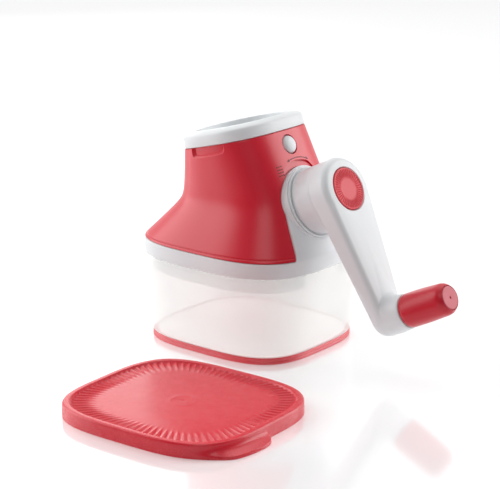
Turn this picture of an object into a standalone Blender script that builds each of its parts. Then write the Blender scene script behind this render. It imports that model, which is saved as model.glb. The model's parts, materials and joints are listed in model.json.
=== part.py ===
"""Hand-cranked drum mill on a storage bowl, with a push-down feeder and a separate lid.

World axes: +Z up, +X towards the crank, +Y to the crank's left, origin on the table plane at
the middle of the bowl. All sizes are in metres.
"""
import math

import bmesh
import bpy
from mathutils import Matrix, Vector

# ---- driving dimensions ---------------------------------------------------------------------
PLAN_RATIO = 0.909            # plan depth over plan width of the bowl, frame and lid
BOWL_TOP_HALF = 0.0704        # half width at the bowl's shoulder
BOWL_FOOT_HALF = 0.0644       # half width just above the grip ring
RING_HEIGHT = 0.0046
SHOULDER_Z = 0.0629           # where the bowl's outer wall ends and its lip begins
LIP_Z = 0.0690
FRAME_LOW_Z = 0.0633
FRAME_TOP_Z = 0.0739
SKIRT_LOW_Z = 0.0510
SHELL_LOW_Z = 0.0742
SHELL_WALL = 0.0024
POCKET_DEPTH = 0.0016
GAP = 0.0003                  # between neighbours that touch on the real object

CRANK_TILT = math.radians(26.24)   # the drum axis climbs by this towards +X
CRANK_AXIS_Z = 0.0799              # its height on the bowl's centreline
FEEDER_TILT = math.radians(14.86)  # the feeder's rim climbs by this towards +X

FEEDER_ORIGIN = (-0.0061, 0.0, 0.1452)
FEEDER_HALF_X = 0.0366
FEEDER_HALF_Y = 0.0425
FEEDER_POWER = 2.8
RIM_HEIGHT = 0.0111
FOOT_POWER = 4.0              # the feeder's lower part is squarer than its rim
SHELL_FOOT_HALF = 0.0700
SHELL_STATIONS = (0.0, 0.12, 0.24, 0.34, 0.42, 0.48, 0.54, 0.62, 0.75, 0.87, 1.0)
FLARE_SLOPE = 2.10            # how fast the housing narrows above its foot
UPPER_SLOPE = 0.09            # and above its waist
WAIST_SOFTNESS = 0.15

BOSS_LOW, BOSS_HIGH = 0.0475, 0.0617   # the frame's boss, measured along the drum axis
PANEL_PROUD = 0.0010          # how far the frame's panel stands out from the housing
PANEL_INSET = 0.0020
BORE_RADIUS = 0.0242
ARCH_RADIUS = 0.0275
ARCH_FOOT_HALF = 0.0340
ARCH_FOOT_V = -0.0360
BUTTON_V = 0.0436

ARM_LENGTH = 0.0919
ARM_BACK = 0.0793
ARM_FRONT = 0.0943
ARM_HEAD_RADIUS = 0.0235
ARM_END_RADIUS = 0.0130
KNOB_START = 0.1067
KNOB_END = 0.1432
DRUM_RADIUS = 0.0210

LID_CENTRE = (0.0652, -0.1512, 0.0)
LID_TURN = math.radians(2.5)
LID_HALF = 0.0699
LID_POWER = 3.6

PLAN_POINTS = 40
ROUND_STEPS = 32
SMALL_STEPS = 20
MERGE = 0.00001


# ---- scene and helpers ----------------------------------------------------------------------
def clear_scene():
    for item in list(bpy.data.objects):
        bpy.data.objects.remove(item, do_unlink=True)


def new_collection(name):
    group = bpy.data.collections.new(name)
    bpy.context.scene.collection.children.link(group)
    return group


def material(name, colour, roughness, metallic=0.0, alpha=1.0):
    made = bpy.data.materials.new(name)
    made.use_nodes = True
    shader = made.node_tree.nodes["Principled BSDF"]
    shader.inputs["Base Color"].default_value = (*colour, 1.0)
    shader.inputs["Roughness"].default_value = roughness
    shader.inputs["Metallic"].default_value = metallic
    shader.inputs["Alpha"].default_value = alpha
    return made


def add_object(name, mesh, finish=None, parent=None):
    """Link a mesh as a part, or as a hidden cutter when it has no finish."""
    thing = bpy.data.objects.new(name, mesh)
    if finish is None:
        CUTTERS.objects.link(thing)
        thing.hide_render = True
        thing.display_type = "WIRE"
    else:
        PARTS.objects.link(thing)
        mesh.materials.append(finish)
        mesh.polygons.foreach_set("use_smooth", [True] * len(mesh.polygons))
        mesh.set_sharp_from_angle(angle=math.radians(35))
    thing.parent = parent
    return thing


def empty(name, matrix):
    thing = bpy.data.objects.new(name, None)
    PARTS.objects.link(thing)
    thing.matrix_world = matrix
    return thing


def superellipse(half_x, half_y, power, count=PLAN_POINTS):
    """A rounded rectangle: its corners tighten as the power grows."""
    points = []
    for step in range(count):
        angle = 2 * math.pi * step / count
        across, along = math.cos(angle), math.sin(angle)
        points.append((
            math.copysign(half_x * abs(across) ** (2 / power), across),
            math.copysign(half_y * abs(along) ** (2 / power), along),
        ))
    return points


def level_ring(half_x, z, power, ratio=PLAN_RATIO):
    return [Vector((x, y, z)) for x, y in superellipse(half_x, half_x * ratio, power)]


def loft_mesh(name, rings, looped=False):
    """Skin a row of rings that have equal counts.

    A looped row joins its last ring to its first, which makes a frame; otherwise both ends
    are capped, which makes a solid or a cup.
    """
    build = bmesh.new()
    rows = [[build.verts.new(point) for point in ring] for ring in rings]
    pairs = list(zip(rows, rows[1:]))
    if looped:
        pairs.append((rows[-1], rows[0]))
    for low, high in pairs:
        for index in range(len(low)):
            following = (index + 1) % len(low)
            build.faces.new((low[index], low[following], high[following], high[index]))
    if not looped:
        build.faces.new(rows[0])
        build.faces.new(rows[-1])
    bmesh.ops.recalc_face_normals(build, faces=build.faces)
    mesh = bpy.data.meshes.new(name)
    build.to_mesh(mesh)
    build.free()
    return mesh


def prism_mesh(name, outline, low, high):
    """Extrude a flat outline between two heights."""
    build = bmesh.new()
    face = build.faces.new([build.verts.new((x, y, low)) for x, y in outline])
    raised = bmesh.ops.extrude_face_region(build, geom=[face])
    top = [item for item in raised["geom"] if isinstance(item, bmesh.types.BMVert)]
    bmesh.ops.translate(build, vec=(0, 0, high - low), verts=top)
    bmesh.ops.recalc_face_normals(build, faces=build.faces)
    mesh = bpy.data.meshes.new(name)
    build.to_mesh(mesh)
    build.free()
    return mesh


def box_mesh(name, low, high):
    build = bmesh.new()
    bmesh.ops.create_cube(build, size=1.0)
    size = Vector(high) - Vector(low)
    middle = (Vector(high) + Vector(low)) / 2
    bmesh.ops.scale(build, vec=size, verts=build.verts)
    bmesh.ops.translate(build, vec=middle, verts=build.verts)
    mesh = bpy.data.meshes.new(name)
    build.to_mesh(mesh)
    build.free()
    return mesh


def cylinder_mesh(name, radius, low, high, steps=ROUND_STEPS, centre=(0.0, 0.0)):
    build = bmesh.new()
    bmesh.ops.create_cone(
        build, cap_ends=True, segments=steps, radius1=radius, radius2=radius, depth=high - low)
    bmesh.ops.translate(
        build, vec=(centre[0], centre[1], (low + high) / 2), verts=build.verts)
    mesh = bpy.data.meshes.new(name)
    build.to_mesh(mesh)
    build.free()
    return mesh


def turned(name, profile, finish=None, parent=None, steps=ROUND_STEPS):
    """Turn a profile of (radius, height) points about the local Z axis.

    A profile that starts and ends on the axis is open; any other one is a closed section.
    """
    build = bmesh.new()
    points = [build.verts.new((radius, 0, height)) for radius, height in profile]
    for start, end in zip(points, points[1:]):
        build.edges.new((start, end))
    if profile[0][0] > 0:
        build.edges.new((points[-1], points[0]))
    mesh = bpy.data.meshes.new(name)
    build.to_mesh(mesh)
    build.free()
    thing = add_object(name, mesh, finish, parent)
    screw = thing.modifiers.new("turn", "SCREW")
    screw.steps = steps
    screw.render_steps = steps
    screw.use_merge_vertices = True
    screw.merge_threshold = MERGE
    screw.use_smooth_shade = True
    return thing


def boolean(target, other, operation="DIFFERENCE"):
    change = target.modifiers.new(other.name, "BOOLEAN")
    change.operation = operation
    change.object = other
    change.solver = "EXACT"


def rounded(thing, width, segments=2, angle=50):
    bevel = thing.modifiers.new("round", "BEVEL")
    bevel.width = width
    bevel.segments = segments
    bevel.limit_method = "ANGLE"
    bevel.angle_limit = math.radians(angle)


def narrowing(share):
    """How much of its narrowing the housing has done, for a share of its height.

    Two straight runs, a flare and a near upright, meet in a soft waist.
    """
    def bend(height):
        flare = FLARE_SLOPE * height
        upright = 1 - UPPER_SLOPE * (1 - height)
        return (flare + upright - math.hypot(flare - upright, WAIST_SOFTNESS)) / 2

    return (bend(share) - bend(0)) / (bend(1) - bend(0))


# ---- bowl, grip ring and lid ----------------------------------------------------------------
def storage_bowl():
    """A deep cup: the outer wall from the foot up, over the lip, then down the inside."""
    foot = BOWL_FOOT_HALF - 0.0036
    wall = [
        (foot - 0.0012, 0.0009, 3.45),
        (foot, 0.0021, 3.45),
        (foot, RING_HEIGHT + GAP, 3.45),
        (BOWL_FOOT_HALF, RING_HEIGHT + GAP, 3.45),
        (BOWL_FOOT_HALF + 0.0004, 0.0075, 3.42),
        (BOWL_FOOT_HALF + 0.0013, 0.0120, 3.40),
        (BOWL_TOP_HALF - 0.0026, 0.0340, 3.30),
        (BOWL_TOP_HALF, SHOULDER_Z, 3.20),
        (BOWL_TOP_HALF - 0.0021, SHOULDER_Z + 0.0001, 3.20),
        (BOWL_TOP_HALF - 0.0021, LIP_Z, 3.20),
        (BOWL_TOP_HALF - 0.0038, LIP_Z, 3.20),
        (BOWL_TOP_HALF - 0.0036, 0.0560, 3.20),
        (BOWL_TOP_HALF - 0.0046, 0.0340, 3.30),
        (BOWL_FOOT_HALF - 0.0008, 0.0120, 3.40),
        (BOWL_FOOT_HALF - 0.0030, 0.0062, 3.42),
        (foot - 0.0030, 0.0032, 3.45),
    ]
    rings = [level_ring(half, z, power) for half, z, power in wall]
    add_object("storage_bowl", loft_mesh("storage_bowl", rings), FROSTED)


def base_grip_ring():
    outer, inner = BOWL_FOOT_HALF, BOWL_FOOT_HALF - 0.0032
    section = [
        (outer - 0.0005, 0.0),
        (outer, 0.0006),
        (outer, RING_HEIGHT),
        (inner, RING_HEIGHT),
        (inner, 0.0),
    ]
    rings = [level_ring(half, z, 3.45) for half, z in section]
    add_object("base_grip_ring", loft_mesh("base_grip_ring", rings, looped=True), RUBBER_RED)


def storage_lid():
    """A snap lid: side skirt, a groove for the bowl's lip, a plug wall and a sunk panel."""
    placed = empty(
        "lid_place", Matrix.Translation(LID_CENTRE) @ Matrix.Rotation(LID_TURN, 4, "Z"))
    section = [
        (LID_HALF - 0.0050, 0.0064),
        (LID_HALF - 0.0050, 0.0015),
        (LID_HALF - 0.0038, 0.0015),
        (LID_HALF - 0.0038, 0.0075),
        (LID_HALF - 0.0014, 0.0075),
        (LID_HALF - 0.0012, 0.0000),
        (LID_HALF, 0.0000),
        (LID_HALF - 0.0002, 0.0080),
        (LID_HALF - 0.0014, 0.0097),
        (LID_HALF - 0.0046, 0.0097),
        (LID_HALF - 0.0056, 0.0079),
    ]
    rings = [level_ring(half, z, LID_POWER) for half, z in section]
    lid = add_object("storage_lid", loft_mesh("storage_lid", rings), LID_RED, placed)

    tab_outline = [(x + 0.0640, y - 0.0290) for x, y in superellipse(0.0144, 0.0270, 2.8, 28)]
    tab = add_object("lid_tab", prism_mesh("lid_tab", tab_outline, 0.0, 0.0022), None, placed)
    inside = superellipse(LID_HALF - 0.0006, (LID_HALF - 0.0006) * PLAN_RATIO, LID_POWER)
    keep_out = add_object(
        "lid_inside", prism_mesh("lid_inside", inside, -0.01, 0.01), None, placed)
    boolean(tab, keep_out)
    boolean(lid, tab, "UNION")


# ---- housing --------------------------------------------------------------------------------
def shell_ring(share, inset):
    """One section of the housing shell, level at the foot and tilted like the feeder above."""
    foot = Vector((SHELL_FOOT_HALF, 0, SHELL_LOW_Z))
    rim = Vector((math.cos(FEEDER_TILT), 0, math.sin(FEEDER_TILT))) * FEEDER_HALF_X
    centre = Vector(FEEDER_ORIGIN)
    right = foot.lerp(centre + rim, share)
    left = Vector((-foot.x, 0, foot.z)).lerp(centre - rim, share)
    left.x = -foot.x + (centre.x - rim.x + foot.x) * narrowing(share)
    middle, reach = (left + right) / 2, (right - left) / 2
    reach *= 1 - inset / reach.length
    foot_half_y = SHELL_FOOT_HALF * PLAN_RATIO
    half_y = foot_half_y + (FEEDER_HALF_Y - foot_half_y) * narrowing(share) - inset
    power = 3.2 + (FEEDER_POWER - 3.2) * share
    return [middle + reach * x + Vector((0, y, 0))
            for x, y in superellipse(1.0, half_y, power)]


def arch_outline(clearance):
    """The crank-side opening: a round top over two legs that spread towards the foot."""
    radius = ARCH_RADIUS - clearance
    foot = ARCH_FOOT_HALF - clearance
    spread = (foot - radius) / abs(ARCH_FOOT_V)
    bottom = 1.25 * ARCH_FOOT_V
    points = [(foot + spread * abs(bottom - ARCH_FOOT_V), bottom)]
    for step in range(17):
        angle = math.pi * step / 16
        points.append((radius * math.cos(angle), radius * math.sin(angle)))
    points.append((-points[0][0], bottom))
    return points


def housing_shell():
    outer = [shell_ring(share, 0.0) for share in SHELL_STATIONS]
    inner = [shell_ring(share, SHELL_WALL) for share in reversed(SHELL_STATIONS)]
    mesh = loft_mesh("housing_shell", outer + inner, looped=True)
    shell = add_object("housing_shell", mesh, SATIN_RED)

    arch = prism_mesh("shell_arch_cut", arch_outline(0.0), 0.045, 0.080)
    boolean(shell, add_object("shell_arch_cut", arch, None, DRUM_AXIS))
    hole = cylinder_mesh("shell_button_cut", 0.0073, 0.050, 0.075, 24, (0.0, BUTTON_V))
    boolean(shell, add_object("shell_button_cut", hole, None, DRUM_AXIS))
    # Two finger pockets under the rim, their floors following the wall.
    core_rings = [shell_ring(share, POCKET_DEPTH) for share in SHELL_STATIONS[-4:]]
    core_rings.append([point + Vector((0, 0, 0.010)) for point in core_rings[-1]])
    for side in (-1, 1):
        ends = sorted((side * 0.0340, side * 0.0480))
        name = "shell_grip_cut_" + ("near" if side < 0 else "far")
        pocket = add_object(
            name, box_mesh(name, (-0.0160, ends[0], -0.0066), (0.0160, ends[1], 0.0030)),
            None, FEEDER_AXIS)
        core_name = name.replace("cut", "core")
        boolean(pocket, add_object(core_name, loft_mesh(core_name, core_rings)))
        boolean(shell, pocket)


def inner_frame():
    """The band between bowl and shell, its skirt in the bowl, and the crank-side panel."""
    half = BOWL_TOP_HALF
    section = [
        (half, FRAME_LOW_Z),
        (half - 0.0004, FRAME_TOP_Z),
        (half - 0.0072, FRAME_TOP_Z),
        (half - 0.0078, SKIRT_LOW_Z),
        (half - 0.0060, SKIRT_LOW_Z),
        (half - 0.0056, 0.0704),
        (half - 0.0015, 0.0704),
        (half - 0.0015, FRAME_LOW_Z),
    ]
    rings = [level_ring(width, z, 3.2) for width, z in section]
    frame = add_object("inner_frame", loft_mesh("inner_frame", rings, looped=True), WHITE)

    # The panel is a slice of the housing's own shape, a little larger, cut to the arch.
    into_band = Vector((0, 0, -0.0012))
    stations = SHELL_STATIONS[:-1]
    grow = {0: 0.0002, 1: 0.7 * PANEL_PROUD}
    outer = [shell_ring(share, -grow.get(index, PANEL_PROUD))
             for index, share in enumerate(stations)]
    inner = [shell_ring(share, PANEL_INSET) for share in reversed(stations)]
    outer.insert(0, [point + into_band for point in outer[0]])
    inner.append([point + into_band for point in inner[-1]])
    panel = add_object("frame_panel", loft_mesh("frame_panel", outer + inner, looped=True))
    arch = prism_mesh("frame_panel_cut", arch_outline(0.0005), 0.045, 0.080)
    boolean(panel, add_object("frame_panel_cut", arch, None, DRUM_AXIS), "INTERSECT")
    boolean(frame, panel, "UNION")

    boss = cylinder_mesh("frame_boss", ARCH_RADIUS - 0.0009, BOSS_LOW, BOSS_HIGH)
    boolean(frame, add_object("frame_boss", boss, None, DRUM_AXIS), "UNION")
    bore = cylinder_mesh("frame_bore", BORE_RADIUS, 0.040, 0.070)
    boolean(frame, add_object("frame_bore", bore, None, DRUM_AXIS))
    notch = add_object(
        "frame_notch", box_mesh("frame_notch", (0.045, -0.0210, 0.040), (0.0680, 0.0210, 0.0665)))
    rounded(notch, 0.0040, 3)
    boolean(frame, notch)


def drum_cradle():
    """A ring that carries the drum's open end, on two arms that clip into the frame."""
    ring = turned("drum_cradle", [
        (0.0245, -0.0130), (0.0245, -0.0190), (0.0226, -0.0190), (0.0226, -0.0130),
    ], WHITE, DRUM_AXIS)
    reach = (BOWL_TOP_HALF - 0.0078) * PLAN_RATIO - 0.0008
    for side in (-1, 1):
        ends = sorted((side * 0.0236, side * reach))
        name = "cradle_arm_" + ("near" if side < 0 else "far")
        arm = box_mesh(name, (ends[0], -0.0060, -0.0182), (ends[1], 0.0010, -0.0138))
        boolean(ring, add_object(name, arm, None, DRUM_AXIS), "UNION")


def feeder_ring(half_x, half_y, height, power=FEEDER_POWER):
    return [Vector((x, y, height)) for x, y in superellipse(half_x, half_y, power, 32)]


def feed_chute():
    """A funnel from the housing's top down to the drum, ending in a curve round the drum."""
    section = [
        (0.0307, 0.0361, -0.0006), (0.0305, 0.0359, -0.0030), (0.0255, 0.0316, -0.0080),
        (0.0232, 0.0200, -0.0220, FOOT_POWER), (0.0230, 0.0190, -0.0560, FOOT_POWER),
        (0.0246, 0.0206, -0.0560, FOOT_POWER), (0.0248, 0.0216, -0.0220, FOOT_POWER),
        (0.0271, 0.0333, -0.0088), (0.0321, 0.0375, -0.0028), (0.0337, 0.0396, -0.0021),
        (0.0337, 0.0396, -0.0006),
    ]
    mesh = loft_mesh("feed_chute", [feeder_ring(*size) for size in section], looped=True)
    chute = add_object("feed_chute", mesh, WHITE, FEEDER_AXIS)
    drum_space = cylinder_mesh("chute_drum_cut", DRUM_RADIUS + 0.0013, -0.060, 0.080)
    boolean(chute, add_object("chute_drum_cut", drum_space, None, DRUM_AXIS))


def release_button():
    centre = empty("button_axis", DRUM_AXIS.matrix_world @ Matrix.Translation((0, BUTTON_V, 0)))
    turned("release_button", [
        (0.0, 0.0616), (0.0028, 0.0614), (0.0048, 0.0608), (0.0060, 0.0597), (0.0063, 0.0588),
        (0.0063, 0.0567), (0.0076, 0.0567), (0.0076, 0.0556), (0.0021, 0.0556),
        (0.0021, 0.0528), (0.0, 0.0528),
    ], WHITE, centre, SMALL_STEPS)

    path = bpy.data.curves.new("button_spring", "CURVE")
    path.dimensions = "3D"
    path.bevel_depth = 0.00035
    path.bevel_resolution = 1
    path.use_fill_caps = True
    turns, steps_a_turn, radius = 4, 12, 0.0034
    low, high = 0.0520, 0.0550
    count = turns * steps_a_turn + 1
    coil = path.splines.new("POLY")
    coil.points.add(count - 1)
    for step in range(count):
        angle = 2 * math.pi * step / steps_a_turn
        height = low + (high - low) * step / (count - 1)
        coil.points[step].co = (radius * math.cos(angle), radius * math.sin(angle), height, 1)
    wire = bpy.data.objects.new("coil_path", path)
    PARTS.objects.link(wire)
    bpy.context.view_layer.update()
    depsgraph = bpy.context.evaluated_depsgraph_get()
    mesh = bpy.data.meshes.new_from_object(wire.evaluated_get(depsgraph))
    bpy.data.objects.remove(wire, do_unlink=True)
    build = bmesh.new()
    build.from_mesh(mesh)
    bmesh.ops.remove_doubles(build, verts=build.verts, dist=MERGE)
    build.to_mesh(mesh)
    build.free()
    mesh.materials.clear()
    add_object("button_spring", mesh, STEEL, centre)


# ---- pusher ---------------------------------------------------------------------------------
def pusher_body():
    """A hollow plunger that hangs from a thick rim, open at the top."""
    section = [
        (0.0222, 0.0182, -0.0360, FOOT_POWER), (0.0224, 0.0190, -0.0225, FOOT_POWER),
        (0.0246, 0.0307, -0.0084), (0.0296, 0.0350, -0.0030), (0.0298, 0.0352, 0.0003),
        (0.0317, 0.0371, 0.0003), (0.0321, 0.0375, 0.0068), (0.0343, 0.0400, 0.0068),
        (0.0343, 0.0400, 0.0003), (0.0362, 0.0421, 0.0003),
        (FEEDER_HALF_X, FEEDER_HALF_Y, 0.0012), (0.0362, 0.0421, 0.0076),
        (0.0354, 0.0411, 0.0089), (0.0330, 0.0384, 0.0102), (0.0309, 0.0357, RIM_HEIGHT),
        (0.0300, 0.0346, RIM_HEIGHT), (0.0294, 0.0340, 0.0102), (0.0290, 0.0336, 0.0040),
        (0.0283, 0.0330, 0.0005), (0.0281, 0.0328, -0.0024), (0.0230, 0.0290, -0.0078),
        (0.0208, 0.0174, -0.0220, FOOT_POWER), (0.0206, 0.0166, -0.0342, FOOT_POWER),
    ]
    mesh = loft_mesh("pusher_body", [feeder_ring(*size) for size in section])
    add_object("pusher_body", mesh, WHITE, FEEDER_AXIS)


def pusher_foot():
    """The pressing foot, hollowed to the drum's curve and ridged so that food can't slip."""
    rings = [feeder_ring(0.0222, 0.0182, height, FOOT_POWER) for height in (-0.0500, -0.0363)]
    foot = add_object("pusher_foot", loft_mesh("pusher_foot", rings), WHITE, FEEDER_AXIS)
    curve = cylinder_mesh("foot_curve_cut", DRUM_RADIUS + 0.0018, -0.060, 0.080)
    boolean(foot, add_object("foot_curve_cut", curve, None, DRUM_AXIS))
    for index in range(5):
        along = -0.0160 + 0.0080 * index
        name = "foot_groove_cut_%d" % index
        groove = box_mesh(name, (along, -0.0140, -0.0520), (along + 0.0030, 0.0140, -0.0385))
        boolean(foot, add_object(name, groove, None, FEEDER_AXIS))


# ---- crank, drum and knob -------------------------------------------------------------------
def bearing_collar():
    turned("bearing_collar", [
        (0.0256, 0.0634), (0.0256, 0.0620), (0.0237, 0.0620), (0.0237, 0.0520),
        (0.0206, 0.0520), (0.0206, 0.0637), (0.0252, 0.0637),
    ], WHITE, DRUM_AXIS)


def crank_hub():
    hub = turned("crank_hub", [
        (0.0, 0.0790), (0.0233, 0.0790), (0.0233, 0.0641), (0.0201, 0.0641),
        (0.0201, 0.0506), (0.0, 0.0506),
    ], WHITE, CRANK_PIVOT)
    hollow = turned("hub_hollow_cut", [
        (0.0180, 0.0750), (0.0180, 0.0490), (0.0092, 0.0490), (0.0092, 0.0750),
    ], None, CRANK_PIVOT)
    boolean(hub, hollow)
    socket = cylinder_mesh("hub_socket_cut", 0.0056, 0.045, 0.085, 6)
    boolean(hub, add_object("hub_socket_cut", socket, None, CRANK_PIVOT))


def drive_shaft():
    """A six-sided shaft from the arm, through the hub, into the drum's drive disc."""
    shaft = add_object(
        "drive_shaft", cylinder_mesh("drive_shaft", 0.0051, 0.0380, 0.0842, 6), STEEL,
        CRANK_PIVOT)
    tapped = cylinder_mesh("shaft_tapped_cut", 0.0030, 0.0640, 0.0900, 16)
    boolean(shaft, add_object("shaft_tapped_cut", tapped, None, CRANK_PIVOT))


def taper_outline(big, small, length, offset=0.0, start=0.0, arc_steps=14):
    """Two circles joined by their tangents, hanging down from (0, start)."""
    lean = math.asin((big - small) / length)
    points = []
    for step in range(arc_steps + 1):
        angle = -lean + (math.pi + 2 * lean) * step / arc_steps
        reach = big + offset
        points.append((reach * math.cos(angle), start + reach * math.sin(angle)))
    for step in range(arc_steps + 1):
        angle = math.pi + lean + (math.pi - 2 * lean) * step / arc_steps
        reach = small + offset
        points.append((reach * math.cos(angle), start - length + reach * math.sin(angle)))
    return points


def crank_arm():
    outline = taper_outline(ARM_HEAD_RADIUS, ARM_END_RADIUS, ARM_LENGTH)
    arm = add_object(
        "crank_arm", prism_mesh("crank_arm", outline, ARM_BACK, ARM_FRONT), WHITE, CRANK_PIVOT)
    rounded(arm, 0.0035, 2)
    stub = turned("arm_stub", [
        (0.0, 0.1040), (0.0106, 0.1064), (0.0122, 0.1056), (0.0129, 0.0930), (0.0129, 0.0850),
        (0.0, 0.0850),
    ], None, KNOB_AXIS, 24)
    boolean(arm, stub, "UNION")
    cuts = {
        "arm_cap_cut": (0.0153, 0.0918, 0.1000, 28),
        "arm_screw_pocket_cut": (0.0085, 0.0870, 0.0950, 20),
        "arm_screw_hole_cut": (0.0032, 0.0700, 0.0950, 16),
        "arm_shaft_cut": (0.0056, 0.0700, 0.0846, 16),
    }
    for name, (radius, low, high, steps) in cuts.items():
        cutter = add_object(name, cylinder_mesh(name, radius, low, high, steps), None, CRANK_PIVOT)
        boolean(arm, cutter)
    pin_hole = cylinder_mesh("arm_pin_cut", 0.0043, 0.0880, 0.1200, 16)
    boolean(arm, add_object("arm_pin_cut", pin_hole, None, KNOB_AXIS))
    hollow = prism_mesh(
        "arm_hollow_cut", taper_outline(0.0115, 0.0085, 0.0400, 0.0, -0.0370, 8), 0.070, 0.0905)
    boolean(arm, add_object("arm_hollow_cut", hollow, None, CRANK_PIVOT))


def crank_back_plate():
    """Closes the arm's lightening pocket from behind."""
    outline = taper_outline(0.0115, 0.0085, 0.0400, -0.0004, -0.0370, 8)
    mesh = prism_mesh("crank_back_plate", outline, ARM_BACK + 0.0002, ARM_BACK + 0.0018)
    add_object("crank_back_plate", mesh, WHITE, CRANK_PIVOT)


def crank_fastening():
    turned("crank_washer", [
        (0.0075, 0.0882), (0.0075, 0.0873), (0.0033, 0.0873), (0.0033, 0.0882),
    ], STEEL, CRANK_PIVOT, SMALL_STEPS)
    screw = turned("crank_screw", [
        (0.0, 0.0909), (0.0036, 0.0909), (0.0055, 0.0897), (0.0055, 0.0885), (0.0026, 0.0885),
        (0.0026, 0.0664), (0.0, 0.0664),
    ], STEEL, CRANK_PIVOT, SMALL_STEPS)
    for index in range(2):
        name = "screw_slot_cut_%d" % index
        reach = (0.0028, 0.0005) if index == 0 else (0.0005, 0.0028)
        slot = box_mesh(name, (-reach[0], -reach[1], 0.0897), (reach[0], reach[1], 0.0950))
        boolean(screw, add_object(name, slot, None, CRANK_PIVOT))


def crank_cap():
    """A disc with a raised border."""
    turned("crank_cap", [
        (0.0, 0.0946), (0.0098, 0.0946), (0.0102, 0.0951), (0.0140, 0.0951), (0.0149, 0.0944),
        (0.0149, 0.0921), (0.0, 0.0921),
    ], SATIN_RED, CRANK_PIVOT, 36)


def drum_blade():
    """A perforated tube: rings of square cutting holes round it."""
    columns, rows = 24, 9
    low, high = -0.0130, 0.0478
    build = bmesh.new()
    bmesh.ops.create_cone(
        build, cap_ends=False, segments=columns, radius1=DRUM_RADIUS, radius2=DRUM_RADIUS,
        depth=high - low)
    bmesh.ops.translate(build, vec=(0, 0, (low + high) / 2), verts=build.verts)
    uprights = [edge for edge in build.edges
                if abs(edge.verts[0].co.z - edge.verts[1].co.z) > (high - low) / 2]
    bmesh.ops.subdivide_edges(build, edges=uprights, cuts=rows - 1, use_grid_fill=True)
    pitch = (high - low) / rows
    holes = []
    for face in build.faces:
        middle = face.calc_center_median()
        row = int((middle.z - low) / pitch)
        column = int(math.floor((math.atan2(middle.y, middle.x) / (2 * math.pi)) * columns))
        if 0 < row < rows - 1 and (column + 2 * row) % 3 == 0:
            holes.append(face)
    bmesh.ops.inset_individual(build, faces=holes, thickness=0.0009)
    bmesh.ops.delete(build, geom=holes, context="FACES")
    mesh = bpy.data.meshes.new("drum_blade")
    build.to_mesh(mesh)
    build.free()
    tube = add_object("drum_blade", mesh, STEEL, CRANK_PIVOT)
    wall = tube.modifiers.new("wall", "SOLIDIFY")
    wall.thickness = 0.0006
    wall.offset = -1.0


def drum_ends():
    disc = turned("drum_drive_disc", [
        (0.0, 0.0500), (0.0214, 0.0500), (0.0214, 0.0481), (0.0200, 0.0481),
        (0.0200, 0.0432), (0.0, 0.0432),
    ], SATIN_RED, CRANK_PIVOT)
    dish = turned("disc_dish_cut", [
        (0.0184, 0.0478), (0.0184, 0.0400), (0.0090, 0.0400), (0.0090, 0.0478),
    ], None, CRANK_PIVOT)
    boolean(disc, dish)
    socket = cylinder_mesh("disc_socket_cut", 0.0056, 0.0380, 0.0600, 6)
    boolean(disc, add_object("disc_socket_cut", socket, None, CRANK_PIVOT))
    turned("drum_rim_ring", [
        (0.0221, -0.0134), (0.0221, -0.0175), (0.0186, -0.0175), (0.0186, -0.0092),
        (0.0200, -0.0092), (0.0200, -0.0134),
    ], SATIN_RED, CRANK_PIVOT)


def knob():
    turned("knob_pin", [
        (0.0, 0.1392), (0.0039, 0.1392), (0.0039, 0.0884), (0.0, 0.0884),
    ], STEEL, KNOB_AXIS, SMALL_STEPS)
    turned("knob_grip", [
        (0.0102, 0.1418), (0.0110, 0.1390), (0.0118, 0.1220), (0.0118, 0.1090),
        (0.0113, KNOB_START), (0.0044, KNOB_START), (0.0044, 0.1398), (0.0084, 0.1398),
        (0.0084, 0.1430), (0.0092, 0.1430),
    ], SATIN_RED, KNOB_AXIS, 28)
    turned("knob_end_cap", [
        (0.0, KNOB_END), (0.0074, KNOB_END), (0.0080, 0.1427), (0.0080, 0.1402), (0.0, 0.1402),
    ], SATIN_RED, KNOB_AXIS, 28)


# ---- build ----------------------------------------------------------------------------------
clear_scene()
PARTS = new_collection("drum_mill")
CUTTERS = new_collection("cutters")

SATIN_RED = material("satin_red", (0.43, 0.014, 0.022), 0.38)
LID_RED = material("lid_red", (0.62, 0.06, 0.07), 0.34)
RUBBER_RED = material("rubber_red", (0.50, 0.03, 0.035), 0.60)
WHITE = material("satin_white", (0.80, 0.81, 0.83), 0.36)
FROSTED = material("frosted_clear", (0.88, 0.85, 0.83), 0.45, alpha=0.55)
STEEL = material("steel", (0.62, 0.62, 0.63), 0.25, metallic=1.0)

# Local axes: X to world +Y, Y up the housing's crank-side face, Z out along the drum.
AXIS_TURN = Matrix((
    (0, -math.sin(CRANK_TILT), math.cos(CRANK_TILT)),
    (1, 0, 0),
    (0, math.cos(CRANK_TILT), math.sin(CRANK_TILT)),
)).to_4x4()
DRUM_AXIS = empty("drum_axis", Matrix.Translation((0, 0, CRANK_AXIS_Z)) @ AXIS_TURN)
CRANK_PIVOT = empty("crank_pivot", Matrix.Translation((0, 0, CRANK_AXIS_Z)) @ AXIS_TURN)
FEEDER_AXIS = empty(
    "feeder_axis",
    Matrix.Translation(FEEDER_ORIGIN) @ Matrix.Rotation(-FEEDER_TILT, 4, "Y"))
bpy.context.view_layer.update()
KNOB_AXIS = empty(
    "knob_axis", CRANK_PIVOT.matrix_world @ Matrix.Translation((0, -ARM_LENGTH, 0)))

storage_bowl()
base_grip_ring()
storage_lid()
housing_shell()
inner_frame()
drum_cradle()
feed_chute()
release_button()
pusher_body()
pusher_foot()
bearing_collar()
crank_hub()
drive_shaft()
crank_arm()
crank_back_plate()
crank_fastening()
crank_cap()
drum_blade()
drum_ends()
knob()
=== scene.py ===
import json
import math

import bpy
import numpy as np
from mathutils import Matrix, Vector


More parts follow.
